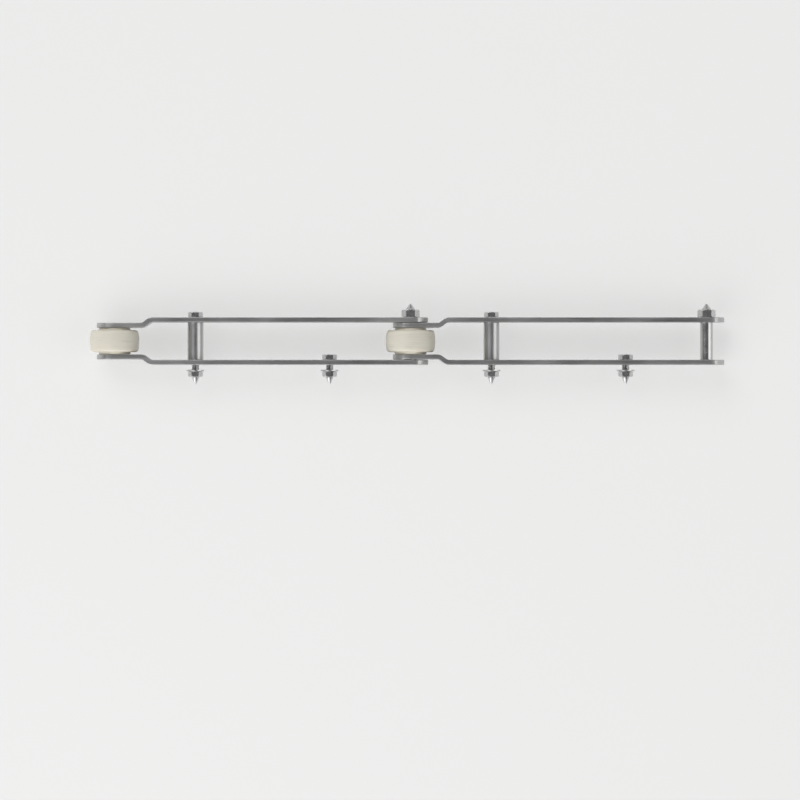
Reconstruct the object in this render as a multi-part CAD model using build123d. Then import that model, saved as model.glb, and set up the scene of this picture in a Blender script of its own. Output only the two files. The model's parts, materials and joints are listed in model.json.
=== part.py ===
from build123d import *
import math
import os

# Two cranked links of a scraper chain for wastewater tanks, joined by a pin.
# Sizes are in millimetres. The origin is the centre of the open bush in the first link.
# +X runs along the chain, +Y points to the side of the pin nuts, and +Z is up.

# Chain: how many links, and the distance from one pin axis to the next
link_count = 2
pitch = 300.0

# Side bars: flat bar, narrow at the bush end and cranked out to straddle the next link
narrow_width = 27.0
bar_thickness = 5.0
bar_height = 33.0
bar_end_extra = 1.5
bar_edge_break = 0.5
crank_start = 29.0
crank_run = 7.5
bend_inside_radius = 5.0

# Joint: the pin of one link turns in the bush of the next, and the roller turns on the bush
pin_diameter = 13.0
pin_head_rim = 2.0
pin_shoulder = 1.5
bush_wall = 2.45
bush_edge_break = 0.5

# Roller: crowned tread with a hub that keeps its faces off the bars
roller_diameter = 50.0
tread_width = 22.0
tread_crown_radius = 45.0
tread_corner_radius = 3.0
hub_wall = 7.0
hub_root_radius = 0.8
hub_edge_break = 0.6

# Running clearances, each on one side or on the radius
link_side_gap = 0.5
roller_side_gap = 0.3
pin_running_gap = 0.05
roller_running_gap = 0.08

# Bolts: one through the spacer tube, one that only holds the attachment
bolt_diameter = 8.0
bolt_inset = 82.0
bolt_across_flats = 13.0
bolt_head_height = 5.5
bolt_bearing_height = 0.4
bolt_nut_height = 5.5
bolt_hole_gap = 0.5
attachment_room = 5.0
washer_diameter = 18.0
washer_thickness = 1.6
washer_hole_gap = 0.25
washer_edge_break = 0.3
tube_wall = 3.5
tube_edge_break = 0.4

# Pin nut, and the points at the ends of all threads
pin_nut_across_flats = 16.0
pin_nut_height = 8.0
thread_gap = 0.02
bolt_point_length = 6.9
pin_point_length = 5.6
point_tip_radius = 1.0
hexagon_face_share = 0.95
hexagon_chamfer_angle = 30.0

# Places worked out from the sizes above, measured from the middle plane of the chain
narrow_inner_y = narrow_width / 2
narrow_outer_y = narrow_inner_y + bar_thickness
wide_inner_y = narrow_outer_y + link_side_gap
wide_outer_y = wide_inner_y + bar_thickness
bar_end_radius = bar_height / 2 + bar_end_extra
washer_seat_y = wide_outer_y + attachment_room
bolt_nut_seat_y = washer_seat_y + washer_thickness
bolt_nut_face_y = bolt_nut_seat_y + bolt_nut_height
pin_nut_face_y = wide_outer_y + pin_nut_height
spacer_x = bolt_inset
attachment_x = pitch - bolt_inset

# Radii worked out from the sizes above
pin_radius = pin_diameter / 2
pin_thread_radius = pin_radius - pin_shoulder
pin_head_radius = pin_radius + pin_head_rim
bush_bore_radius = pin_radius + pin_running_gap
bush_radius = bush_bore_radius + bush_wall
bolt_radius = bolt_diameter / 2
bolt_hole_radius = bolt_radius + bolt_hole_gap


def turned(outline):
    """Solid of revolution about the Y axis; the outline holds x as radius and y as position."""
    return revolve(make_face(outline), Axis.Y)


def ring(inner_radius, outer_radius, low_y, high_y, edge_break):
    """Turned ring with its four rims broken by a small chamfer."""
    middle = Pos((inner_radius + outer_radius) / 2, (low_y + high_y) / 2)
    section = middle * Rectangle(outer_radius - inner_radius, high_y - low_y)
    return revolve(chamfer(section.vertices(), edge_break), Axis.Y)


def rod(x, radius, start_y, end_y):
    """Plain round rod across the chain, also used to cut the holes."""
    return Pos(x, (start_y + end_y) / 2) * Rot(90, 0, 0) * Cylinder(radius, abs(end_y - start_y))


def hexagon(across_flats, seat_y, free_y):
    """Hexagon with a corner towards +X, chamfered round its free face."""
    corner_radius = across_flats / 2 / math.cos(math.radians(30))
    face_radius = across_flats / 2 * hexagon_face_share
    direction = math.copysign(1, free_y - seat_y)
    drop = direction * (corner_radius - face_radius) * math.tan(math.radians(hexagon_chamfer_angle))
    envelope = turned(
        Polyline(
            (0, seat_y),
            (corner_radius, seat_y),
            (corner_radius, free_y - drop),
            (face_radius, free_y),
            (0, free_y),
            close=True,
        )
    )
    seat = Plane(origin=(0, seat_y, 0), x_dir=(1, 0, 0), z_dir=(0, direction, 0))
    prism = extrude(seat * RegularPolygon(corner_radius, 6), abs(free_y - seat_y))
    return prism & envelope


def nut(across_flats, thread_radius, seat_y, free_y):
    """Hexagon nut, chamfered on both faces."""
    body = hexagon(across_flats, seat_y, free_y) & hexagon(across_flats, free_y, seat_y)
    return body - rod(0, thread_radius + thread_gap, seat_y, free_y)


def bar_path():
    """Centre line of the bar on the +Y side, bent twice behind the narrow end."""
    narrow_y = narrow_inner_y + bar_thickness / 2
    wide_y = wide_inner_y + bar_thickness / 2
    slope_length = math.hypot(crank_run, wide_y - narrow_y)
    half_bend = math.atan2(wide_y - narrow_y, crank_run) / 2
    longest_radius = 0.45 * slope_length / math.tan(half_bend)
    return FilletPolyline(
        (-bar_end_radius, narrow_y),
        (crank_start, narrow_y),
        (crank_start + crank_run, wide_y),
        (pitch + bar_end_radius, wide_y),
        radius=min(bend_inside_radius + bar_thickness / 2, longest_radius),
    )


def bar_outline():
    """Side outline of a bar: straight edges, with an arc about the pin axis at each end."""
    length = pitch + 2 * bar_end_radius
    between_pins = Pos(pitch / 2, 0) * Rectangle(pitch, bar_height)
    ends = Circle(bar_end_radius) + Pos(pitch, 0) * Circle(bar_end_radius)
    return (between_pins + ends) & Pos(pitch / 2, 0) * Rectangle(length, bar_height)


def bent_bar():
    """Bar on the +Y side without its holes, with a light break on every long and end edge."""
    start = bar_path() @ 0
    section = Plane(origin=start, x_dir=(0, 1, 0), z_dir=(1, 0, 0)) * Rectangle(bar_thickness, bar_height)
    strip = sweep(section, path=bar_path())
    outline = extrude(Plane.XZ * bar_outline(), -(wide_outer_y + bar_thickness))
    bar = strip & outline
    return chamfer([edge for edge in bar.edges() if not crosses_thickness(edge)], bar_edge_break)


def crosses_thickness(edge):
    """True for the short straight edges that run from the bar's inner face to its outer face."""
    span = edge.bounding_box().size
    return span.X < bar_edge_break and span.Y > bar_thickness / 2


def nut_side_bar():
    """Bar on the pin nut's side: it takes the bush, the spacer bolt and the pin's threaded end."""
    bar = bent_bar()
    bar -= rod(0, bush_radius, 0, wide_outer_y)
    bar -= rod(spacer_x, bolt_hole_radius, 0, wide_outer_y)
    bar -= rod(pitch, pin_thread_radius, 0, wide_outer_y)
    return bar


def attachment_side_bar():
    """Bar on the other side: it takes the bush, both bolts and the pin's countersunk head."""
    bar = mirror(bent_bar(), Plane.XZ)
    bar -= rod(0, bush_radius, 0, -wide_outer_y)
    bar -= rod(spacer_x, bolt_hole_radius, 0, -wide_outer_y)
    bar -= rod(attachment_x, bolt_hole_radius, 0, -wide_outer_y)
    bar -= rod(pitch, pin_radius, 0, -wide_outer_y)
    return bar - Pos(pitch, 0) * pin_head()


def pin_head():
    """Cone of the countersunk head, flush with the outer face of the bar."""
    return turned(
        Polyline(
            (0, -wide_outer_y),
            (pin_head_radius, -wide_outer_y),
            (pin_radius, -wide_outer_y + pin_head_rim),
            (0, -wide_outer_y + pin_head_rim),
            close=True,
        )
    )


def bush():
    """Steel bush, pressed into both bars at the narrow end and flush with them."""
    return ring(bush_bore_radius, bush_radius, -narrow_outer_y, narrow_outer_y, bush_edge_break)


def roller():
    """Moulded roller with a crowned tread, turning on the bush between the bars."""
    bore_radius = bush_radius + roller_running_gap
    hub_radius = bore_radius + hub_wall
    hub_y = narrow_inner_y - roller_side_gap
    tread_y = tread_width / 2
    tread_radius = roller_diameter / 2
    rim_radius = tread_radius - tread_crown_radius + math.sqrt(tread_crown_radius**2 - tread_y**2)
    face_depth = rim_radius - hub_radius
    corner_radius = min(tread_corner_radius, 0.8 * face_depth)
    root_radius = min(hub_root_radius, 0.15 * face_depth, (hub_y - tread_y) / 2)
    section = make_face(
        [
            Polyline(
                (rim_radius, tread_y),
                (hub_radius, tread_y),
                (hub_radius, hub_y),
                (bore_radius, hub_y),
                (bore_radius, -hub_y),
                (hub_radius, -hub_y),
                (hub_radius, -tread_y),
                (rim_radius, -tread_y),
            ),
            ThreePointArc((rim_radius, -tread_y), (tread_radius, 0), (rim_radius, tread_y)),
        ]
    )
    section = fillet(section.vertices().sort_by(Axis.X)[-2:], corner_radius)
    roots = section.vertices().filter_by(
        lambda point: abs(point.X - hub_radius) < 1e-6 and abs(abs(point.Y) - tread_y) < 1e-6
    )
    section = fillet(roots, root_radius)
    hub_corners = section.vertices().filter_by(lambda point: abs(abs(point.Y) - hub_y) < 1e-6)
    return revolve(chamfer(hub_corners, hub_edge_break), Axis.Y)


def pin():
    """Pin with a flush countersunk head, a shoulder against the far bar and a threaded point."""
    shank = turned(
        Polyline(
            (0, -wide_outer_y),
            (pin_radius, -wide_outer_y),
            (pin_radius, wide_inner_y),
            (pin_thread_radius, wide_inner_y),
            (pin_thread_radius, pin_nut_face_y),
            (point_tip_radius, pin_nut_face_y + pin_point_length),
            (0, pin_nut_face_y + pin_point_length),
            close=True,
        )
    )
    return Pos(pitch, 0) * (shank + pin_head())


def pin_nut():
    """Nut that draws the pin's shoulder against the bar."""
    return Pos(pitch, 0) * nut(pin_nut_across_flats, pin_thread_radius, wide_outer_y, pin_nut_face_y)


def spacer_tube():
    """Tube that holds the bars apart, clamped by the spacer bolt."""
    bore_radius = bolt_radius + bolt_hole_gap
    tube = ring(bore_radius, bore_radius + tube_wall, -wide_inner_y, wide_inner_y, tube_edge_break)
    return Pos(spacer_x, 0) * tube


def bolt_head(seat_y):
    """Hexagon head that stands on a thin round bearing face."""
    hexagon_y = seat_y + bolt_bearing_height
    bearing_radius = bolt_across_flats / 2 * hexagon_face_share
    bearing_face = rod(0, bearing_radius, seat_y, hexagon_y)
    return bearing_face + hexagon(bolt_across_flats, hexagon_y, seat_y + bolt_head_height)


def bolt(x, seat_y):
    """Bolt whose head bears on seat_y and whose point reaches past the nut on the -Y side."""
    shank = turned(
        Polyline(
            (0, seat_y),
            (bolt_radius, seat_y),
            (bolt_radius, -bolt_nut_face_y),
            (point_tip_radius, -bolt_nut_face_y - bolt_point_length),
            (0, -bolt_nut_face_y - bolt_point_length),
            close=True,
        )
    )
    return Pos(x, 0) * (shank + bolt_head(seat_y))


def bolt_washer(x):
    """Washer against the nut, clear of the bar by the room that an attachment's plate takes."""
    bore_radius = bolt_radius + washer_hole_gap
    washer = ring(
        bore_radius, washer_diameter / 2, -bolt_nut_seat_y, -washer_seat_y, washer_edge_break
    )
    return Pos(x, 0) * washer


def bolt_nut(x):
    """Thin nut of a spacer bolt or an attachment bolt."""
    return Pos(x, 0) * nut(bolt_across_flats, bolt_radius, -bolt_nut_seat_y, -bolt_nut_face_y)


def link_pieces():
    """Every piece of one link by name, with its bush at the origin."""
    return {
        "nut_side_bar": nut_side_bar(),
        "attachment_side_bar": attachment_side_bar(),
        "bush": bush(),
        "roller": roller(),
        "pin": pin(),
        "pin_nut": pin_nut(),
        "spacer_tube": spacer_tube(),
        "spacer_bolt": bolt(spacer_x, wide_outer_y),
        "spacer_bolt_washer": bolt_washer(spacer_x),
        "spacer_bolt_nut": bolt_nut(spacer_x),
        "attachment_bolt": bolt(attachment_x, -wide_inner_y),
        "attachment_bolt_washer": bolt_washer(attachment_x),
        "attachment_bolt_nut": bolt_nut(attachment_x),
    }


os.makedirs("parts", exist_ok=True)
pieces = link_pieces()
for link in range(link_count):
    for name, piece in pieces.items():
        export_step(Pos(link * pitch, 0) * piece, f"parts/link_{link + 1}_{name}.step")
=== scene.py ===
import json
import math

import bmesh
import bpy
from mathutils import Matrix, Vector

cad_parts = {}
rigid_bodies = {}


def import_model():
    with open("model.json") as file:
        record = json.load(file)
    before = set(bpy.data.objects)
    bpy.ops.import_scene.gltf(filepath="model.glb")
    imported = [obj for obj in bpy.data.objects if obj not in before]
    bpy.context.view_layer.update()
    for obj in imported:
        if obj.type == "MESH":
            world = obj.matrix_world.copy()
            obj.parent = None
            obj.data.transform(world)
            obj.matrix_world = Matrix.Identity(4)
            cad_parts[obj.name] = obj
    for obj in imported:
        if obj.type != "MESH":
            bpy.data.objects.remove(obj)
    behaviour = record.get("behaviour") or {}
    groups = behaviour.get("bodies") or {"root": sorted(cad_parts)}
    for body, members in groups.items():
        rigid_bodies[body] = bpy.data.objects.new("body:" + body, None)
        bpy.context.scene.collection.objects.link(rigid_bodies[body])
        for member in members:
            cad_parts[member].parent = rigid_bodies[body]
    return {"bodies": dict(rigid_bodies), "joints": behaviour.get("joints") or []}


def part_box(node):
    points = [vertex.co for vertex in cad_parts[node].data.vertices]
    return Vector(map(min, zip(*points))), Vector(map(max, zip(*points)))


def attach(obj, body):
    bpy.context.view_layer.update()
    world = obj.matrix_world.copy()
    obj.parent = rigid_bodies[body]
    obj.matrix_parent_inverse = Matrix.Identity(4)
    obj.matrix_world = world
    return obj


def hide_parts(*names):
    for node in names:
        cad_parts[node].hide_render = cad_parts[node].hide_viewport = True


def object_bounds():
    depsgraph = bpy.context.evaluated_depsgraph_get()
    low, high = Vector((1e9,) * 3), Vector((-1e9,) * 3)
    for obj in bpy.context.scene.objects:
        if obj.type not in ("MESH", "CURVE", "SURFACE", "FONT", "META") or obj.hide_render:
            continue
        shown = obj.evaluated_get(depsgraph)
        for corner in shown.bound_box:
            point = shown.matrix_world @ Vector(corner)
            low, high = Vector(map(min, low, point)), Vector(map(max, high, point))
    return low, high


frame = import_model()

cad_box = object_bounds()


# Side bars. Each link has two flat bars of rolled stainless steel, cut to length with round ends,
# cold bent outwards behind the narrow end, and drilled for the bush, the bolts and the pin.
bar_low, bar_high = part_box("link_1_nut_side_bar")
pitch = next(joint["pos_m"][0] for joint in frame["joints"] if joint["name"] == "chain_joint")
link_count = sum(body.startswith("link_") for body in frame["bodies"])
nut_side = 1
attachment_side = -1
bar_thickness = 0.005
bar_height = bar_high.z - bar_low.z
bar_end_radius = -bar_low.x
narrow_outer_y = bar_low.y + bar_thickness
wide_inner_y = bar_high.y - bar_thickness
wide_outer_y = bar_high.y
crank_start = 0.029
crank_run = 0.0075
crank_offset = wide_outer_y - narrow_outer_y
bend_radius = 0.0075
bend_steps = 8
bar_edge = 0.0006
hole_edge = 0.0002
full_turn_sides = 96
quarter_turn = math.radians(90)
sharp_angle = math.radians(40)
weld_gap = 0.000002
same_place = 0.000001
aligned = 0.9
bush_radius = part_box("link_1_bush")[1].z
spacer_x = sum(corner.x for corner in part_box("link_1_spacer_bolt")) / 2
attachment_x = sum(corner.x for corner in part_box("link_1_attachment_bolt")) / 2
bolt_hole_radius = 0.0045
pin_radius = 0.0065
pin_thread_radius = 0.005
pin_head_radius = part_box("link_1_pin")[1].z
pin_head_rim = 0.002


def cylinder(x, radius, low_y, high_y, sides=full_turn_sides):
    """A round bar across the chain, the start of most pieces and cutters."""
    bpy.ops.object.select_all(action="DESELECT")
    bpy.ops.mesh.primitive_cylinder_add(
        vertices=sides,
        radius=radius,
        depth=high_y - low_y,
        location=(x, (low_y + high_y) / 2, 0),
        rotation=(quarter_turn, quarter_turn, 0),
    )
    bpy.ops.object.transform_apply()
    return bpy.context.object


def edit(piece):
    """Opens a piece in edit mode, with nothing selected."""
    bpy.context.view_layer.objects.active = piece
    bpy.ops.object.mode_set(mode="EDIT")
    bpy.ops.mesh.select_all(action="DESELECT")


def close():
    """Leaves edit mode."""
    bpy.ops.object.mode_set(mode="OBJECT")


def pick(kind, test):
    """Selects just the corners, edges or faces that pass the test. Kind is VERT, EDGE or FACE."""
    bpy.ops.mesh.select_mode(type=kind)
    bpy.ops.mesh.select_all(action="DESELECT")
    mesh = bpy.context.object.data
    form = bmesh.from_edit_mesh(mesh)
    for element in {"VERT": form.verts, "EDGE": form.edges, "FACE": form.faces}[kind]:
        element.select_set(test(element))
    bmesh.update_edit_mesh(mesh)


def pick_faces(test):
    """Selects just the faces whose middle and normal pass the test."""
    pick("FACE", lambda face: test(face.calc_center_median(), face.normal))


def draw_out(piece, x, start_y, end_y, share):
    """Draws the end face at start_y out to end_y and makes it smaller or larger by a share."""
    edit(piece)
    pick_faces(lambda middle, normal: abs(normal.y) > aligned and abs(middle.y - start_y) < same_place)
    bpy.ops.mesh.extrude_region_move(TRANSFORM_OT_translate={"value": (0, end_y - start_y, 0)})
    bpy.ops.transform.resize(value=(share, 1, share), center_override=(x, end_y, 0))
    close()


def cut_off(point, direction):
    """Saws off what lies past a point in a direction, and closes the cut."""
    bpy.ops.mesh.select_all(action="SELECT")
    bpy.ops.mesh.bisect(plane_co=point, plane_no=direction, use_fill=True, clear_outer=True)


def combine(piece, tool, operation):
    """Cuts a tool from the piece, joins it on, or keeps what both share, and uses the tool up."""
    change = piece.modifiers.new("combine", "BOOLEAN")
    change.operation = operation
    change.object = tool
    change.solver = "EXACT"
    bpy.context.view_layer.objects.active = piece
    bpy.ops.object.modifier_apply(modifier=change.name)
    bpy.data.objects.remove(tool)
    edit(piece)
    bpy.ops.mesh.select_all(action="SELECT")
    bpy.ops.mesh.remove_doubles(threshold=weld_gap)
    close()


def round_end(x, y, outward):
    """An end of a bar that points to +X or -X: a disc as high as the bar, sawn off on its axis."""
    end = cylinder(x, bar_end_radius, y - bar_thickness / 2, y + bar_thickness / 2)
    edit(end)
    cut_off((0, 0, bar_height / 2), (0, 0, 1))
    cut_off((0, 0, -bar_height / 2), (0, 0, -1))
    cut_off((x, 0, 0), (-outward, 0, 0))
    close()
    return end


def join_end(bar, far_end):
    """Joins the far end to the bar, and takes out the two faces that meet on the pin's axis."""
    bpy.ops.object.select_all(action="DESELECT")
    far_end.select_set(True)
    bar.select_set(True)
    bpy.context.view_layer.objects.active = bar
    bpy.ops.object.join()
    edit(bar)
    pick_faces(
        lambda middle, normal: abs(normal.x) > aligned and abs(middle.x - pitch) < same_place
    )
    bpy.ops.mesh.delete(type="FACE")
    bpy.ops.mesh.select_all(action="SELECT")
    bpy.ops.mesh.remove_doubles(threshold=same_place)
    close()


def bent_bar(side):
    """A bar without holes, on the nut side or the attachment side of the chain."""
    narrow_y = side * (narrow_outer_y - bar_thickness / 2)
    wide_y = side * (wide_outer_y - bar_thickness / 2)
    bend = math.atan2(crank_offset, crank_run)
    bend_length = bend_radius * math.tan(bend / 2)
    slope = math.hypot(crank_run, crank_offset) - 2 * bend_length
    far_end = round_end(pitch, wide_y, outward=1)
    bar = round_end(0, narrow_y, outward=-1)
    edit(bar)
    pick_faces(lambda middle, normal: normal.x > aligned and abs(middle.x) < same_place)
    first_bend_x = crank_start - bend_length
    bpy.ops.mesh.extrude_region_move(TRANSFORM_OT_translate={"value": (first_bend_x, 0, 0)})
    bpy.ops.mesh.spin(
        steps=bend_steps,
        angle=-side * bend,
        center=(first_bend_x, narrow_y + side * bend_radius, 0),
        axis=(0, 0, 1),
    )
    rise = (slope * math.cos(bend), side * slope * math.sin(bend), 0)
    bpy.ops.mesh.extrude_region_move(TRANSFORM_OT_translate={"value": rise})
    last_bend_x = crank_start + crank_run + bend_length
    bpy.ops.mesh.spin(
        steps=bend_steps,
        angle=side * bend,
        center=(last_bend_x, wide_y - side * bend_radius, 0),
        axis=(0, 0, 1),
    )
    straight = pitch - last_bend_x
    bpy.ops.mesh.extrude_region_move(TRANSFORM_OT_translate={"value": (straight, 0, 0)})
    close()
    join_end(bar, far_end)
    return bar


def drill(piece, x, radius, side):
    """Drills a hole right through the bar on one side of the chain."""
    reach = 2 * wide_outer_y
    low_y, high_y = sorted((0, side * reach))
    combine(piece, cylinder(x, radius, low_y, high_y), "DIFFERENCE")


def ease_edges(piece, width, steps=3):
    """Rounds the piece's sharp edges and shades it smooth between its flat faces."""
    edge = piece.modifiers.new("edge", "BEVEL")
    edge.width = width
    edge.segments = steps
    edge.limit_method = "ANGLE"
    edge.angle_limit = sharp_angle
    edge.harden_normals = True
    bpy.context.view_layer.objects.active = piece
    bpy.ops.object.select_all(action="DESELECT")
    piece.select_set(True)
    bpy.ops.object.shade_smooth()
    bpy.ops.object.modifier_apply(modifier=edge.name)


def fit(piece, part, body, finish):
    """Fits a piece in the first link, and a copy with its own mesh in each further link."""
    piece.data.materials.clear()
    piece.data.materials.append(finish)
    for link in range(1, link_count + 1):
        fitted = piece
        if link > 1:
            fitted = piece.copy()
            fitted.data = piece.data.copy()
            fitted.data.transform(Matrix.Translation((pitch * (link - 1), 0, 0)))
            bpy.context.scene.collection.objects.link(fitted)
        fitted.name = f"{part}_{link}"
        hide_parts(f"link_{link}_{part}")
        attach(fitted, f"{body}_{link}")


def plain_finish(name, colour, metallic, roughness):
    """A material whose shader is ready for its details."""
    finish = bpy.data.materials.new(name)
    finish.use_nodes = True
    shader = finish.node_tree.nodes["Principled BSDF"]
    shader.inputs["Base Color"].default_value = (*colour, 1)
    shader.inputs["Metallic"].default_value = metallic
    shader.inputs["Roughness"].default_value = roughness
    return finish


def add(finish, kind, values, output=0, **options):
    """Adds a shader node, sets its options, wires or sets its inputs, and returns an output."""
    node = finish.node_tree.nodes.new(kind)
    for option, value in options.items():
        setattr(node, option, value)
    for socket, value in values.items():
        if isinstance(value, bpy.types.NodeSocket):
            finish.node_tree.links.new(value, node.inputs[socket])
        else:
            node.inputs[socket].default_value = value
    return node.outputs[output]


def work_out(finish, operation, first, second=0.0, third=0.0):
    """One sum on the value at each point of a surface."""
    return add(finish, "ShaderNodeMath", {0: first, 1: second, 2: third}, operation=operation)


def fade(finish, value, start, end, start_share=0.0, end_share=1.0):
    """Turns a value between start and end into a share that changes softly, and holds outside."""
    values = {
        "Value": value,
        "From Min": start,
        "From Max": end,
        "To Min": start_share,
        "To Max": end_share,
    }
    return add(finish, "ShaderNodeMapRange", values, interpolation_type="SMOOTHSTEP")


def own_place(finish):
    """The place on the piece, in metres."""
    return add(finish, "ShaderNodeTexCoord", {}, "Object")


def facing_across(finish, start, end, start_share=0.0):
    """A share that is 1 on faces across the Y axis and less on those that turn away from it."""
    direction = add(finish, "ShaderNodeTexCoord", {}, "Normal")
    size = add(finish, "ShaderNodeVectorMath", {0: direction}, operation="ABSOLUTE")
    along_y = add(finish, "ShaderNodeSeparateXYZ", {0: size}, "Y")
    return fade(finish, along_y, start, end, start_share)


def from_axis(finish, x):
    """The distance from the axis across the chain at x, and the place along that axis."""
    spot = add(finish, "ShaderNodeSeparateXYZ", {0: own_place(finish)}).node.outputs
    past = work_out(finish, "SUBTRACT", spot["X"], x)
    near = work_out(finish, "WRAP", past, pitch / 2, -pitch / 2)
    flat = add(finish, "ShaderNodeCombineXYZ", {"X": near, "Z": spot["Z"]})
    radius = add(finish, "ShaderNodeVectorMath", {0: flat}, "Value", operation="LENGTH")
    return radius, spot["Y"]


def marks(finish, per_metre, place=None, detail=2.0):
    """Uneven marks, so many to the metre in each direction, as a share about a half."""
    spread = add(
        finish,
        "ShaderNodeMapping",
        {"Vector": place or own_place(finish), "Scale": per_metre},
    )
    return add(finish, "ShaderNodeTexNoise", {"Vector": spread, "Scale": 1.0, "Detail": detail})


def worn_and_highlit_edge(finish, width):
    """A share that is 1 on edges and fades out within a width of them. It marks worn edges, and the
    colour lightened there is partly a painted highlight.
    """
    even = add(finish, "ShaderNodeBevel", {"Radius": width}, samples=6)
    true = add(finish, "ShaderNodeNewGeometry", {}, "Normal")
    agree = add(finish, "ShaderNodeVectorMath", {0: even, 1: true}, "Value", operation="DOT_PRODUCT")
    return fade(finish, agree, 0.995, 0.9)


def blend(finish, total, *parts):
    """Adds to a base number, for each pair, what a share counts for above or below a half."""
    for share, weight in parts:
        off_middle = work_out(finish, "SUBTRACT", share, 0.5)
        total = work_out(finish, "MULTIPLY_ADD", off_middle, weight, total)
    return total


def toned(finish, colour, lightness):
    """A colour made lighter or darker at each point."""
    return add(finish, "ShaderNodeVectorMath", {0: colour, "Scale": lightness}, operation="SCALE")


def surface(finish, colour, roughness, height, depth):
    """Puts colour, roughness and relief on the shader, with the relief's depth in metres."""
    shader = finish.node_tree.nodes["Principled BSDF"]
    relief = add(finish, "ShaderNodeBump", {"Height": height, "Strength": 1.0, "Distance": depth})
    finish.node_tree.links.new(colour, shader.inputs["Base Color"])
    finish.node_tree.links.new(roughness, shader.inputs["Roughness"])
    finish.node_tree.links.new(relief, shader.inputs["Normal"])


def rolled_finish():
    """Rolled and pickled flat bar: fine streaks along the bar, soft clouds, rubbed at the joints."""
    colour = (0.49, 0.49, 0.485)
    even_roughness = 0.37
    rub_radius = 0.0162
    rub_fade = 0.001
    finish = plain_finish("rolled_steel", colour, metallic=1, roughness=even_roughness)
    streaks = marks(finish, (14, 1800, 1800), detail=3.0)
    bands = marks(finish, (7, 260, 260))
    clouds = marks(finish, (22, 45, 45), detail=4.0)
    grain = marks(finish, (2600, 2600, 2600), detail=1.0)
    edge = worn_and_highlit_edge(finish, 0.0009)
    radius, along = from_axis(finish, 0)
    near_joint = fade(finish, radius, rub_radius + rub_fade, rub_radius - rub_fade)
    flat_face = facing_across(finish, 0.9, 0.99)
    outside = fade(finish, work_out(finish, "ABSOLUTE", along), wide_inner_y, wide_outer_y, 1.0, 0.3)
    rubbed = work_out(finish, "MULTIPLY", near_joint, work_out(finish, "MULTIPLY", flat_face, outside))
    arcs = marks(finish, (2400, 1, 1), add(finish, "ShaderNodeCombineXYZ", {"X": radius}))
    scratched = work_out(finish, "MULTIPLY", rubbed, fade(finish, arcs, 0.5, 0.62))
    lightness = blend(finish, 1.0, (streaks, 0.25), (bands, 0.25), (clouds, 0.4), (grain, 0.08))
    # Edges are lighter: partly worn bright metal, partly a painted highlight.
    lightness = work_out(finish, "MULTIPLY_ADD", edge, 0.12, lightness)
    lightness = work_out(finish, "MULTIPLY_ADD", scratched, 0.1, lightness)
    roughness = blend(
        finish, even_roughness, (streaks, 0.16), (bands, 0.16), (clouds, 0.26), (grain, 0.08)
    )
    roughness = work_out(finish, "MULTIPLY_ADD", edge, -0.12, roughness)
    roughness = work_out(finish, "MULTIPLY_ADD", scratched, -0.14, roughness)
    height = blend(finish, 0.5, (streaks, 0.5), (grain, 0.7), (scratched, -0.3))
    surface(finish, toned(finish, colour, lightness), roughness, height, depth=0.000012)
    return finish


rolled_steel = rolled_finish()

nut_side_bar = bent_bar(nut_side)
ease_edges(nut_side_bar, bar_edge)
drill(nut_side_bar, 0, bush_radius, nut_side)
drill(nut_side_bar, spacer_x, bolt_hole_radius, nut_side)
drill(nut_side_bar, pitch, pin_thread_radius, nut_side)
ease_edges(nut_side_bar, hole_edge)
fit(nut_side_bar, "nut_side_bar", "link", rolled_steel)

attachment_side_bar = bent_bar(attachment_side)
ease_edges(attachment_side_bar, bar_edge)
drill(attachment_side_bar, 0, bush_radius, attachment_side)
drill(attachment_side_bar, spacer_x, bolt_hole_radius, attachment_side)
drill(attachment_side_bar, attachment_x, bolt_hole_radius, attachment_side)

# The countersink's cone is cut twice as deep and wide, so that it runs out past the bar's face.
cone_y = -wide_outer_y + pin_head_rim
pin_bore = cylinder(pitch, pin_radius, cone_y, 0)
flare = 1 + 2 * (pin_head_radius - pin_radius) / pin_radius
draw_out(pin_bore, pitch, cone_y, cone_y - 2 * pin_head_rim, flare)
combine(attachment_side_bar, pin_bore, "DIFFERENCE")
ease_edges(attachment_side_bar, hole_edge)
fit(attachment_side_bar, "attachment_side_bar", "link", rolled_steel)


# Bushes. A turned steel tube is pressed into the narrow ends of both bars, flush with their outer
# faces, and lightly chamfered at its rims. The roller turns on it, and the pin turns in it.
bush_low, bush_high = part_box("link_1_bush")
bush_bore_radius = 0.00655
bush_edge = 0.0005


def ring(x, inner_radius, outer_radius, low_y, high_y):
    """A tube across the chain: a round bar bored through by insetting and bridging its ends."""
    piece = cylinder(x, outer_radius, low_y, high_y)
    edit(piece)
    pick_faces(lambda middle, normal: abs(normal.y) > aligned)
    bpy.ops.mesh.inset(thickness=outer_radius - inner_radius, use_individual=True)
    bpy.ops.mesh.bridge_edge_loops()
    close()
    return piece


def ring_marks(finish, x, per_metre):
    """Marks that run round the axis at x, on faces across it and round faces alike."""
    radius, along = from_axis(finish, x)
    place = add(finish, "ShaderNodeCombineXYZ", {"X": radius, "Y": along})
    return marks(finish, (per_metre, per_metre, 1), place)


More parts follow.
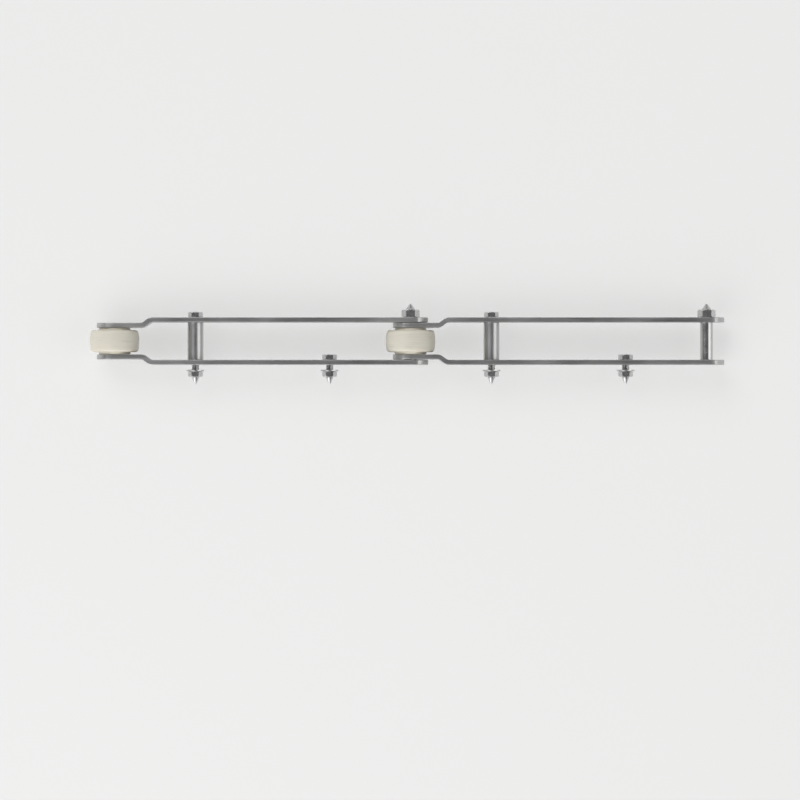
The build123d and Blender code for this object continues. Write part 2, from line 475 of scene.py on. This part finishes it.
def turned_finish(name, x, colour, roughness, per_metre, depth):
    """Steel turned about the axis at x: rings left by the tool, plainest on the faced ends."""
    finish = plain_finish(name, colour, metallic=1, roughness=roughness)
    tool_rings = fade(finish, ring_marks(finish, x, per_metre), 0.3, 0.7)
    faced = facing_across(finish, 0.8, 0.98, start_share=0.2)
    tool_rings = blend(finish, 0.5, (tool_rings, faced))
    clouds = marks(finish, (120, 120, 120))
    edge = worn_and_highlit_edge(finish, 0.0005)
    lightness = blend(finish, 1.0, (tool_rings, 0.16), (clouds, 0.14))
    # Edges are lighter: partly worn bright metal, partly a painted highlight.
    lightness = work_out(finish, "MULTIPLY_ADD", edge, 0.1, lightness)
    rough = blend(finish, roughness, (tool_rings, 0.1), (clouds, 0.12))
    rough = work_out(finish, "MULTIPLY_ADD", edge, -0.08, rough)
    surface(finish, toned(finish, colour, lightness), rough, tool_rings, depth)
    return finish


turned_steel = turned_finish(
    "turned_steel",
    x=0,
    colour=(0.50, 0.50, 0.495),
    roughness=0.3,
    per_metre=2600,
    depth=0.000008,
)

bush = ring(0, bush_bore_radius, bush_radius, bush_low.y, bush_high.y)
ease_edges(bush, bush_edge)
fit(bush, "bush", "link", turned_steel)


# Rollers. Each is one moulded piece of polyamide with a crowned tread, rounded corners and a hub
# that stands out on both sides, and it runs dry on the bush between the bars.
roller_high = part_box("link_1_roller")[1]
tread_radius = roller_high.z
tread_width = 0.022
crown_radius = 0.045
crown_rings = 9
tread_corner = 0.003
corner_steps = 8
roller_play = 0.00008
roller_bore_radius = bush_radius + roller_play
hub_wall = 0.007
hub_radius = roller_bore_radius + hub_wall
hub_root = 0.0008
hub_edge = 0.0006
hub_steps = 3
roller_sides = 128
chord_slack = 0.0001
roller_smooth_angle = math.radians(35)


def pick_edges(test):
    """Selects just the edges whose middle and direction pass the test."""
    def passes(line):
        first, last = (corner.co for corner in line.verts)
        return test((first + last) / 2, (last - first).normalized())

    pick("EDGE", passes)


def off_axis(point, x):
    """How far a point is from the axis across the chain at x."""
    return math.hypot(point.x - x, point.z)


def mix_colours(finish, share, first, second):
    """Mixes two colours by a share. The node takes them at 6 and 7 and gives the mix at 2."""
    return add(finish, "ShaderNodeMix", {0: share, 6: first, 7: second}, 2, data_type="RGBA")


def polyamide_finish():
    """Natural polyamide: ivory and slightly milky, with faint flow marks and a scuffed grey tread."""
    colour = (0.79, 0.75, 0.64)
    scuff_colour = (0.42, 0.41, 0.38, 1)
    even_roughness = 0.47
    scuff_start = 0.0014
    scuff_full = 0.0003
    finish = plain_finish("moulded_polyamide", colour, metallic=0, roughness=even_roughness)
    shader = finish.node_tree.nodes["Principled BSDF"]
    shader.inputs["Subsurface Weight"].default_value = 0.12
    shader.inputs["Subsurface Radius"].default_value = (1.0, 0.8, 0.5)
    shader.inputs["Subsurface Scale"].default_value = 0.0015
    radius = from_axis(finish, 0)[0]
    flow = marks(finish, (70, 110, 70))
    grain = marks(finish, (1900, 1900, 1900))
    contact = fade(finish, radius, tread_radius - scuff_start, tread_radius - scuff_full)
    round_marks = ring_marks(finish, 0, 1500)
    hairlines = fade(finish, marks(finish, (25, 3200, 25), detail=3.0), 0.5, 0.7)
    patches = fade(finish, marks(finish, (60, 130, 60)), 0.3, 0.65)
    scuffs = work_out(finish, "MULTIPLY", hairlines, patches)
    greyed = work_out(finish, "MULTIPLY_ADD", scuffs, 0.4, 0.16)
    scuffed = work_out(finish, "MULTIPLY", contact, greyed)
    lightness = blend(finish, 1.0, (flow, 0.09), (grain, 0.03), (round_marks, 0.03))
    worn = mix_colours(finish, scuffed, toned(finish, colour, lightness), scuff_colour)
    roughness = blend(finish, even_roughness, (flow, 0.1), (grain, 0.08))
    roughness = work_out(finish, "MULTIPLY_ADD", scuffed, 0.16, roughness)
    height = blend(finish, 0.5, (grain, 0.5), (round_marks, 0.6), (scuffed, -0.5))
    surface(finish, worn, roughness, height, depth=0.00002)
    return finish


moulded_polyamide = polyamide_finish()

# The tread is a round bar with rings, which are drawn in from its corners and swelled to the crown.
rim_y = tread_width / 2
rim_radius = tread_radius - crown_radius + math.sqrt(crown_radius**2 - rim_y**2)
roller = cylinder(0, rim_radius, -rim_y, rim_y, roller_sides)
edit(roller)
pick_edges(lambda middle, direction: abs(direction.y) > aligned)
bpy.ops.mesh.subdivide(number_cuts=crown_rings)
pick_edges(
    lambda middle, direction: abs(direction.y) < 1 - aligned
    and abs(middle.y) < rim_y - same_place
)
crown_y = rim_y - tread_corner
cut_y = rim_y * (crown_rings - 1) / (crown_rings + 1)
bpy.ops.transform.resize(value=(1, crown_y / cut_y, 1), center_override=(0, 0, 0))
for ring_index in range(crown_rings):
    ring_y = crown_y * (2 * ring_index / (crown_rings - 1) - 1)
    ring_radius = tread_radius - crown_radius + math.sqrt(crown_radius**2 - ring_y**2)
    pick_edges(lambda middle, direction: abs(middle.y - ring_y) < same_place)
    swell = ring_radius / rim_radius
    bpy.ops.transform.resize(value=(swell, 1, swell), center_override=(0, ring_y, 0))

# Its corners are rounded, which takes up as much of the tread as of the flat side.
pick_edges(lambda middle, direction: abs(abs(middle.y) - rim_y) < same_place)
rim_angle = quarter_turn + math.asin(rim_y / crown_radius)
corner_reach = tread_corner / math.tan(rim_angle / 2)
bpy.ops.mesh.bevel(offset=corner_reach, segments=corner_steps, affect="EDGES")

# The flat sides are inset and drawn out to the hubs, which are then bored through.
pick_faces(
    lambda middle, normal: abs(normal.y) > aligned
    and abs(abs(middle.y) - rim_y) < same_place
)
face_inset = rim_radius - corner_reach - hub_radius
bpy.ops.mesh.inset(thickness=face_inset, use_individual=True)
bpy.ops.mesh.extrude_faces_move(
    TRANSFORM_OT_shrink_fatten={"value": roller_high.y - rim_y},
)
bpy.ops.mesh.inset(thickness=hub_radius - roller_bore_radius, use_individual=True)
bpy.ops.mesh.bridge_edge_loops()

# The hub's foot and its rims are rounded. The middle of an edge lies a little inside the circle
# that its ends are on, hence the slack.
pick_edges(
    lambda middle, direction: abs(abs(middle.y) - rim_y) < same_place
    and abs(off_axis(middle, 0) - hub_radius) < chord_slack
)
bpy.ops.mesh.bevel(offset=hub_root, segments=hub_steps, affect="EDGES")
pick_edges(
    lambda middle, direction: abs(abs(middle.y) - roller_high.y) < same_place
    and abs(middle.dot(direction)) < same_place
)
bpy.ops.mesh.bevel(offset=hub_edge, segments=hub_steps, affect="EDGES")
close()
bpy.ops.object.shade_smooth_by_angle(angle=roller_smooth_angle)
fit(roller, "roller", "roller", moulded_polyamide)


# Spacer tubes. Thick drawn tube, sawn to length and faced, keeps the wide ends of the bars apart
# and is clamped between them by a bolt through its bore.
tube_low, tube_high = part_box("link_1_spacer_tube")
tube_radius = tube_high.z
tube_bore_radius = bolt_hole_radius
tube_edge = 0.0004


def drawn_finish():
    """Cold drawn tube: fine lines along the tube, and saw and file marks on its ends."""
    colour = (0.52, 0.525, 0.52)
    even_roughness = 0.34
    finish = plain_finish("drawn_steel", colour, metallic=1, roughness=even_roughness)
    lines = marks(finish, (1500, 25, 1500))
    clouds = marks(finish, (90, 60, 90))
    end_face = facing_across(finish, 0.8, 0.98)
    saw_marks = work_out(finish, "MULTIPLY", end_face, marks(finish, (60, 60, 2200)))
    edge = worn_and_highlit_edge(finish, 0.0006)
    lightness = blend(finish, 1.0, (lines, 0.14), (clouds, 0.12))
    # Edges are lighter: partly worn bright metal, partly a painted highlight.
    lightness = work_out(finish, "MULTIPLY_ADD", edge, 0.1, lightness)
    roughness = blend(finish, even_roughness, (lines, 0.12), (clouds, 0.14))
    roughness = work_out(finish, "MULTIPLY_ADD", edge, -0.1, roughness)
    height = work_out(finish, "ADD", lines, saw_marks)
    surface(finish, toned(finish, colour, lightness), roughness, height, depth=0.000012)
    return finish


drawn_steel = drawn_finish()

spacer_tube = ring(spacer_x, tube_bore_radius, tube_radius, tube_low.y, tube_high.y)
ease_edges(spacer_tube, tube_edge)
fit(spacer_tube, "spacer_tube", "link", drawn_steel)


# Pins. Each is turned from bar, with a centre mark in a countersunk head that lies flush in one bar,
# a shoulder that bears on the other, and a rolled thread beyond it that ends in a turned point.
pin_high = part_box("link_1_pin")[1]
pin_nut_low, pin_nut_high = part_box("link_1_pin_nut")
pin_lead = 0.0015
pin_neck = 0.001
thread_sides = 48
thread_play = 0.00002
thread_depth_share = 0.7
thread_weld_gap = 0.00001
spare_turns = 2
flank_angle = math.radians(30)
point_tip_radius = 0.001
turned_edge = 0.00015
centre_radius = 0.0014
centre_depth = 0.0016
centre_taper = 0.35
smooth_angle = math.radians(32)


def pick_corners(test):
    """Selects just the corners whose place passes the test."""
    pick("VERT", lambda corner: test(corner.co))


def rolled_thread(x, radius, lead, low_y, high_y):
    """A right-hand thread as a rod: a V profile turned round the axis and sawn off at both ends."""
    root_radius = radius - lead * thread_depth_share
    # A quarter of a step further back, no corner of the thread lies in the plane of a saw cut.
    start_y = low_y - lead - lead / thread_sides / 4
    bpy.ops.object.select_all(action="DESELECT")
    bpy.ops.mesh.primitive_plane_add(size=lead)
    rod = bpy.context.object
    edit(rod)
    pick_corners(lambda corner: corner.x < 0)
    bpy.ops.mesh.delete(type="VERT")
    bpy.ops.mesh.select_all(action="SELECT")
    bpy.ops.mesh.subdivide(number_cuts=1)
    bpy.ops.transform.translate(value=(root_radius - lead / 2, start_y, 0))
    pick_corners(lambda corner: abs(corner.y - start_y) < same_place)
    bpy.ops.transform.translate(value=(lead / 2 / math.tan(flank_angle), 0, 0))
    close()
    turns = rod.modifiers.new("turns", "SCREW")
    turns.axis = "Y"
    turns.screw_offset = lead
    turns.iterations = math.ceil((high_y - low_y) / lead) + spare_turns
    turns.steps = thread_sides
    turns.render_steps = thread_sides
    bpy.ops.object.modifier_apply(modifier=turns.name)
    edit(rod)
    bpy.ops.mesh.select_all(action="SELECT")
    bpy.ops.mesh.remove_doubles(threshold=thread_weld_gap)
    cut_off((0, low_y, 0), (0, -1, 0))
    cut_off((0, high_y, 0), (0, 1, 0))
    bpy.ops.mesh.select_all(action="SELECT")
    bpy.ops.mesh.normals_make_consistent(inside=False)
    bpy.ops.transform.translate(value=(x, 0, 0))
    close()
    return rod


def threaded_end(x, radius, lead, start_y, face_y, tip_y):
    """A thread from start_y that fades out on a turned point from the nut's face to the tip."""
    crest_radius = radius - thread_play
    past_tip_y = tip_y + math.copysign(lead, tip_y - start_y)
    thread = rolled_thread(x, radius, lead, *sorted((start_y, past_tip_y)))
    back_y = 2 * start_y - face_y
    blank = cylinder(x, crest_radius, *sorted((back_y, face_y)))
    draw_out(blank, x, face_y, tip_y, point_tip_radius / crest_radius)
    combine(thread, blank, "INTERSECT")
    return thread


def shade(piece):
    """Shades a piece smooth, apart from its sharp edges."""
    bpy.ops.object.select_all(action="DESELECT")
    piece.select_set(True)
    bpy.context.view_layer.objects.active = piece
    bpy.ops.mesh.customdata_custom_splitnormals_clear()
    bpy.ops.object.shade_smooth_by_angle(angle=smooth_angle)


ground_steel = turned_finish(
    "ground_steel",
    x=pitch,
    colour=(0.56, 0.56, 0.555),
    roughness=0.24,
    per_metre=3000,
    depth=0.000006,
)

pin = cylinder(pitch, pin_radius, cone_y, wide_inner_y)
draw_out(pin, pitch, cone_y, -wide_outer_y, pin_head_radius / pin_radius)
edit(pin)
pick_faces(lambda middle, normal: normal.y < -aligned)
bpy.ops.mesh.inset(thickness=pin_head_radius - centre_radius)
bpy.ops.mesh.extrude_region_move(TRANSFORM_OT_translate={"value": (0, centre_depth, 0)})
centre_floor = (pitch, -wide_outer_y + centre_depth, 0)
bpy.ops.transform.resize(value=(centre_taper, 1, centre_taper), center_override=centre_floor)
close()
thread_start_y = wide_inner_y + pin_neck
neck = cylinder(pitch, pin_thread_radius, wide_inner_y - pin_neck, thread_start_y)
combine(pin, neck, "UNION")
ease_edges(pin, turned_edge)
pin_thread = threaded_end(
    pitch,
    pin_thread_radius,
    pin_lead,
    thread_start_y - pin_neck / 2,
    pin_nut_high.y,
    pin_high.y,
)
combine(pin, pin_thread, "UNION")
shade(pin)
fit(pin, "pin", "link", ground_steel)


# Pin nuts. Each is a plain hexagon nut, machined from bar, chamfered on both faces and
# countersunk at its thread, and it draws the shoulder of the pin against the bar.
hexagon_sides = 6
flat_share = math.cos(math.pi / hexagon_sides)
hexagon_face_share = 0.95
chamfer_angle = math.radians(30)
blank_margin = 1.02
nut_countersink = 0.0006


def hexagon(x, corner_radius, seat_y, free_y, both_faces):
    """A hexagon with a corner towards +X, chamfered all round on its free face or on both."""
    face_radius = corner_radius * flat_share * hexagon_face_share
    blank_radius = corner_radius * blank_margin
    chamfer_depth = (blank_radius - face_radius) * math.tan(chamfer_angle)
    drop = math.copysign(chamfer_depth, free_y - seat_y)
    prism_seat_y = seat_y - drop if both_faces else seat_y
    blank_seat_y = seat_y + drop if both_faces else seat_y - drop
    prism = cylinder(x, corner_radius, *sorted((prism_seat_y, free_y + drop)), sides=hexagon_sides)
    blank = cylinder(x, blank_radius, *sorted((blank_seat_y, free_y - drop)))
    draw_out(blank, x, free_y - drop, free_y, face_radius / blank_radius)
    if both_faces:
        draw_out(blank, x, blank_seat_y, seat_y, face_radius / blank_radius)
    combine(prism, blank, "INTERSECT")
    return prism


def nut(x, corner_radius, thread_radius, low_y, high_y):
    """A hexagon nut with a countersunk hole, over the thread at x."""
    piece = hexagon(x, corner_radius, low_y, high_y, both_faces=True)
    hole_radius = thread_radius + thread_play
    flare = 1 + 2 * nut_countersink / hole_radius
    hole = cylinder(x, hole_radius, low_y + nut_countersink, high_y - nut_countersink)
    draw_out(hole, x, low_y + nut_countersink, low_y - nut_countersink, flare)
    draw_out(hole, x, high_y - nut_countersink, high_y + nut_countersink, flare)
    combine(piece, hole, "DIFFERENCE")
    ease_edges(piece, turned_edge, steps=2)
    shade(piece)
    return piece


def mix_values(finish, share, first, second):
    """Mixes two values by a share. The node takes them at 2 and 3."""
    return add(finish, "ShaderNodeMix", {0: share, 2: first, 3: second}, data_type="FLOAT")


def fastener_finish(name, x):
    """Bright fastener steel: turned end faces and threads, drawn flats and softly worn corners,
    lightened partly as a painted highlight.
    """
    colour = (0.58, 0.58, 0.575)
    even_roughness = 0.27
    finish = plain_finish(name, colour, metallic=1, roughness=even_roughness)
    drawn_lines = marks(finish, (1400, 60, 1400))
    tool_rings = ring_marks(finish, x, 2200)
    end_face = facing_across(finish, 0.8, 0.98)
    lines = mix_values(finish, end_face, drawn_lines, tool_rings)
    clouds = marks(finish, (160, 160, 160))
    edge = worn_and_highlit_edge(finish, 0.0005)
    lightness = blend(finish, 1.0, (lines, 0.12), (clouds, 0.14))
    # Edges are lighter: partly worn bright metal, partly a painted highlight.
    lightness = work_out(finish, "MULTIPLY_ADD", edge, 0.1, lightness)
    roughness = blend(finish, even_roughness, (lines, 0.1), (clouds, 0.16))
    roughness = work_out(finish, "MULTIPLY_ADD", edge, -0.06, roughness)
    surface(finish, toned(finish, colour, lightness), roughness, lines, depth=0.000008)
    return finish


pin_nut_steel = fastener_finish("pin_nut_steel", pitch)

pin_nut_corner = (pin_nut_high.x - pin_nut_low.x) / 2
pin_nut = nut(pitch, pin_nut_corner, pin_thread_radius, pin_nut_low.y, pin_nut_high.y)
fit(pin_nut, "pin_nut", "link", pin_nut_steel)


# Bolts. The long one clamps the spacer tube between the bars, and the short one only waits for the
# attachment. Both have a forged hexagon head, a plain shank, a rolled thread and a turned point.
bolt_low, bolt_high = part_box("link_1_spacer_bolt")
bolt_nut_low, bolt_nut_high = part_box("link_1_spacer_bolt_nut")
bolt_corner = (bolt_nut_high.x - bolt_nut_low.x) / 2
bolt_radius = 0.004
bolt_lead = 0.00125
bolt_bearing = 0.0004
bolt_thread_length = 0.0215


def bolt(x, seat_y, head_y):
    """A bolt along -Y with its head from seat_y to head_y. Its parts overlap so that they join."""
    piece = hexagon(x, bolt_corner, seat_y + bolt_bearing, head_y, both_faces=False)
    bearing_radius = bolt_corner * flat_share * hexagon_face_share
    combine(piece, cylinder(x, bearing_radius, seat_y, seat_y + 2 * bolt_bearing), "UNION")
    thread_y = bolt_low.y + bolt_thread_length
    combine(piece, cylinder(x, bolt_radius, thread_y, seat_y + 3 * bolt_bearing), "UNION")
    ease_edges(piece, turned_edge, steps=2)
    start_y = thread_y + bolt_lead / 2
    thread = threaded_end(x, bolt_radius, bolt_lead, start_y, bolt_nut_low.y, bolt_low.y)
    combine(piece, thread, "UNION")
    shade(piece)
    return piece


spacer_bolt_steel = fastener_finish("spacer_bolt_steel", spacer_x)
spacer_bolt = bolt(spacer_x, wide_outer_y, bolt_high.y)
fit(spacer_bolt, "spacer_bolt", "link", spacer_bolt_steel)

attachment_head_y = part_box("link_1_attachment_bolt")[1].y
attachment_bolt_steel = fastener_finish("attachment_bolt_steel", attachment_x)
attachment_bolt = bolt(attachment_x, -wide_inner_y, attachment_head_y)
fit(attachment_bolt, "attachment_bolt", "link", attachment_bolt_steel)


# Bolt washers and thin nuts. The washers are punched from sheet, which rounds one rim and leaves
# the other sharp. They stand off the bar by the room that the plate of an attachment takes.
washer_low, washer_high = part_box("link_1_spacer_bolt_washer")
washer_radius = washer_high.z
washer_play = 0.00025
washer_hole_radius = bolt_radius + washer_play
punched_rim = 0.0005
punched_steps = 4
sharp_rim = 0.00012


def punched_finish():
    """Punched sheet: the sheet's rolling lines on both faces and a torn grain on its cut edges."""
    colour = (0.56, 0.56, 0.555)
    even_roughness = 0.33
    finish = plain_finish("punched_steel", colour, metallic=1, roughness=even_roughness)
    rolling = marks(finish, (60, 60, 1700))
    torn = marks(finish, (1500, 1500, 1500))
    flat_face = facing_across(finish, 0.6, 0.95)
    lines = mix_values(finish, flat_face, torn, rolling)
    clouds = marks(finish, (140, 140, 140))
    edge = worn_and_highlit_edge(finish, 0.0005)
    lightness = blend(finish, 1.0, (lines, 0.16), (clouds, 0.12))
    # Edges are lighter: partly worn bright metal, partly a painted highlight.
    lightness = work_out(finish, "MULTIPLY_ADD", edge, 0.1, lightness)
    roughness = blend(finish, even_roughness, (lines, 0.14), (clouds, 0.14))
    surface(finish, toned(finish, colour, lightness), roughness, lines, depth=0.00001)
    return finish


punched_steel = punched_finish()
bolt_places = (
    ("spacer_bolt", spacer_x, spacer_bolt_steel),
    ("attachment_bolt", attachment_x, attachment_bolt_steel),
)

for bolt_name, bolt_x, bolt_steel in bolt_places:
    washer = ring(bolt_x, washer_hole_radius, washer_radius, washer_low.y, washer_high.y)
    edit(washer)
    pick_edges(
        lambda middle, direction: middle.y < washer_low.y + same_place
        and off_axis(middle, bolt_x) > washer_radius - punched_rim
    )
    bpy.ops.mesh.bevel(offset=punched_rim, segments=punched_steps, affect="EDGES")
    close()
    ease_edges(washer, sharp_rim, steps=2)
    fit(washer, f"{bolt_name}_washer", "link", punched_steel)
    bolt_nut = nut(bolt_x, bolt_corner, bolt_radius, bolt_nut_low.y, bolt_nut_high.y)
    fit(bolt_nut, f"{bolt_name}_nut", "link", bolt_steel)


# Studio. The chain lies on a plain pale floor under soft lamps, seen from straight above. The floor
# is a milky sheet over an even white ground, so a link that hangs below it still shows through.
photo_size = 800
narrow_axis_pixel = 114.6
far_pin_pixel = 706.5
chain_row_pixel = 341.2
camera_lens = 200.0
sensor_width = 36.0
floor_size = 40.0
floor_clearness = 0.6

pixels_per_metre = (far_pin_pixel - narrow_axis_pixel) / (link_count * pitch)
view_width = photo_size / pixels_per_metre
camera_data = bpy.data.cameras.new("camera")
camera_data.lens = camera_lens
camera_data.sensor_width = sensor_width
camera = bpy.data.objects.new("camera", camera_data)
camera.location = (
    (photo_size / 2 - narrow_axis_pixel) / pixels_per_metre,
    (chain_row_pixel - photo_size / 2) / pixels_per_metre,
    view_width * camera_lens / sensor_width,
)
bpy.context.scene.collection.objects.link(camera)
bpy.context.scene.camera = camera

bpy.ops.object.select_all(action="DESELECT")
bpy.ops.mesh.primitive_plane_add(size=floor_size, location=(0, 0, cad_box[0].z))
floor = bpy.context.object
floor.name = "floor"
milky_sheet = plain_finish("milky_sheet", (0.8, 0.8, 0.79), metallic=0, roughness=0.8)
milky_nodes = milky_sheet.node_tree.nodes
light_path = add(milky_sheet, "ShaderNodeLightPath", {}).node.outputs
seen = work_out(milky_sheet, "ADD", light_path["Is Camera Ray"], light_path["Is Glossy Ray"])
milky_parts = {
    0: work_out(milky_sheet, "MULTIPLY", seen, floor_clearness),
    1: milky_nodes["Principled BSDF"].outputs[0],
    2: add(milky_sheet, "ShaderNodeBsdfTransparent", {}),
}
milky_sheet.node_tree.links.new(
    add(milky_sheet, "ShaderNodeMixShader", milky_parts),
    milky_nodes["Material Output"].inputs["Surface"],
)
floor.data.materials.append(milky_sheet)


def soft_lamp(name, bearing, height, spread, power):
    """A broad soft light from a bearing and a height in degrees, even over the whole floor."""
    light = bpy.data.lights.new(name, "SUN")
    light.angle = math.radians(spread)
    light.energy = power
    holder = bpy.data.objects.new(name, light)
    holder.rotation_euler = (math.radians(90 - height), 0, math.radians(-bearing))
    bpy.context.scene.collection.objects.link(holder)


soft_lamp("key_lamp", bearing=150, height=44, spread=40, power=1.1)
soft_lamp("fill_lamp", bearing=40, height=38, spread=64, power=0.93)
soft_lamp("back_lamp", bearing=285, height=36, spread=50, power=0.83)

near_place = (-0.7, -1.2, 1.1)
near_light = bpy.data.lights.new("near_lamp", "AREA")
near_light.size = 1.8
near_light.energy = 10
near_lamp = bpy.data.objects.new("near_lamp", near_light)
near_lamp.location = near_place
near_aim = Vector((pitch, 0, 0)) - Vector(near_place)
near_lamp.rotation_euler = near_aim.to_track_quat("-Z", "Y").to_euler()
bpy.context.scene.collection.objects.link(near_lamp)

ground_white = (0.93, 0.93, 0.925, 1)
horizon_grey = (0.7, 0.7, 0.7, 1)
zenith_grey = (0.12, 0.12, 0.123, 1)
sky_rise = 0.5
ground_drop = -0.25
world = bpy.data.worlds.new("studio")
bpy.context.scene.world = world
world.use_nodes = True
backdrop = world.node_tree.nodes["Background"].inputs["Color"]
rise = add(world, "ShaderNodeSeparateXYZ", {0: add(world, "ShaderNodeTexCoord", {})}, "Z")
sky = mix_colours(world, fade(world, rise, 0.0, sky_rise), horizon_grey, zenith_grey)
ground = mix_colours(world, fade(world, rise, 0.0, ground_drop), sky, ground_white)
world.node_tree.links.new(ground, backdrop)
bpy.context.scene.view_settings.view_transform = "Standard"
